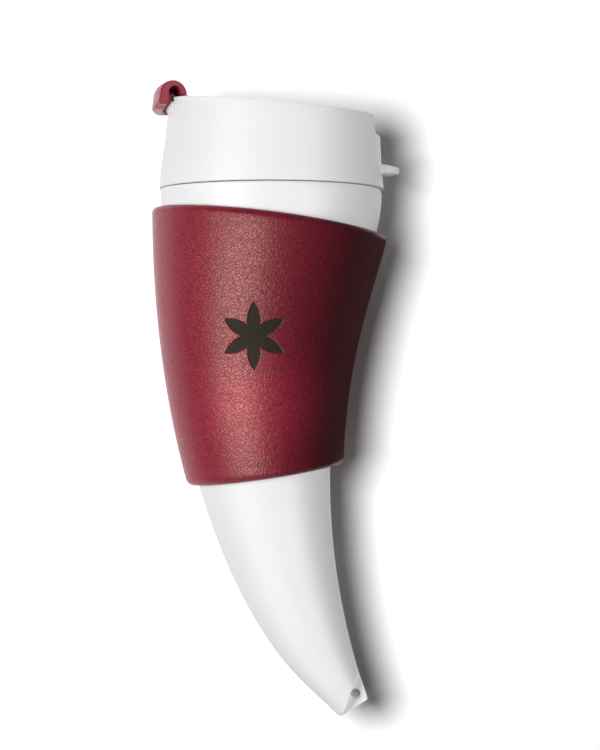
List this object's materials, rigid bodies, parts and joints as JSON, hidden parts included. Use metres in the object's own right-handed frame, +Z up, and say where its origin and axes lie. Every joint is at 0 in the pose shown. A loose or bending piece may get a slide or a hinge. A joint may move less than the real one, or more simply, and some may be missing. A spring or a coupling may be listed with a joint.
{
  "type": "horn drinking cup",
  "caption": "Horn-shaped drinking cup with a screw lid, a flip lever over the drinking hole, a drilled tip and a slip-on leather sleeve.",
  "frame": {"origin": "centre of the tip eyelet", "axes": "+Z up along the lid's axis, +X towards the side that the tip points to, +Y away from the viewer along the tip eyelet"},
  "size_m": [0.0964, 0.0918, 0.2451],
  "materials": {
    "white_plastic": "satin moulded polypropylene",
    "crimson_plastic": "glossy moulded polypropylene",
    "silicone": "matt silicone rubber",
    "pin_steel": "drawn stainless steel",
    "crimson_leather": "fine-grained crimson leather",
    "lining": "dark felt lining"
  },
  "bodies": {
    "cup": {"horn_cup": "white_plastic"},
    "seal": {"lid_gasket": "silicone"},
    "lid": {"lid_cap": "white_plastic", "lever_pin": "pin_steel"},
    "lever": {"closure_lever": "crimson_plastic", "sip_plug": "silicone", "vent_plug": "silicone"},
    "sleeve": {"sleeve_leather": "crimson_leather", "sleeve_liner": "lining"}
  },
  "joints": [
    {"name": "lid_lift", "type": "slide", "parent": "cup", "child": "seal", "axis": [0, 0, 1], "range_m": [0, 0.048]},
    {"name": "lid_turn", "type": "hinge", "parent": "seal", "child": "lid", "pos_m": [-0.03281, 0, 0.19619], "axis": [0, 0, 1], "range_deg": [0, 1440]},
    {"name": "lever_flip", "type": "hinge", "parent": "lid", "child": "lever", "pos_m": [-0.00181, 0, 0.22202], "axis": [0, 1, 0], "range_deg": [0, 160]},
    {"name": "sleeve_off", "type": "hinge", "parent": "cup", "child": "sleeve", "pos_m": [0.26719, 0, 0.13199], "axis": [0, -1, 0], "range_deg": [0, 42]}
  ],
  "couplings": [
    {"joint": "lid_lift", "follows": "lid_turn", "m_per_rad": 0.0019099}
  ]
}
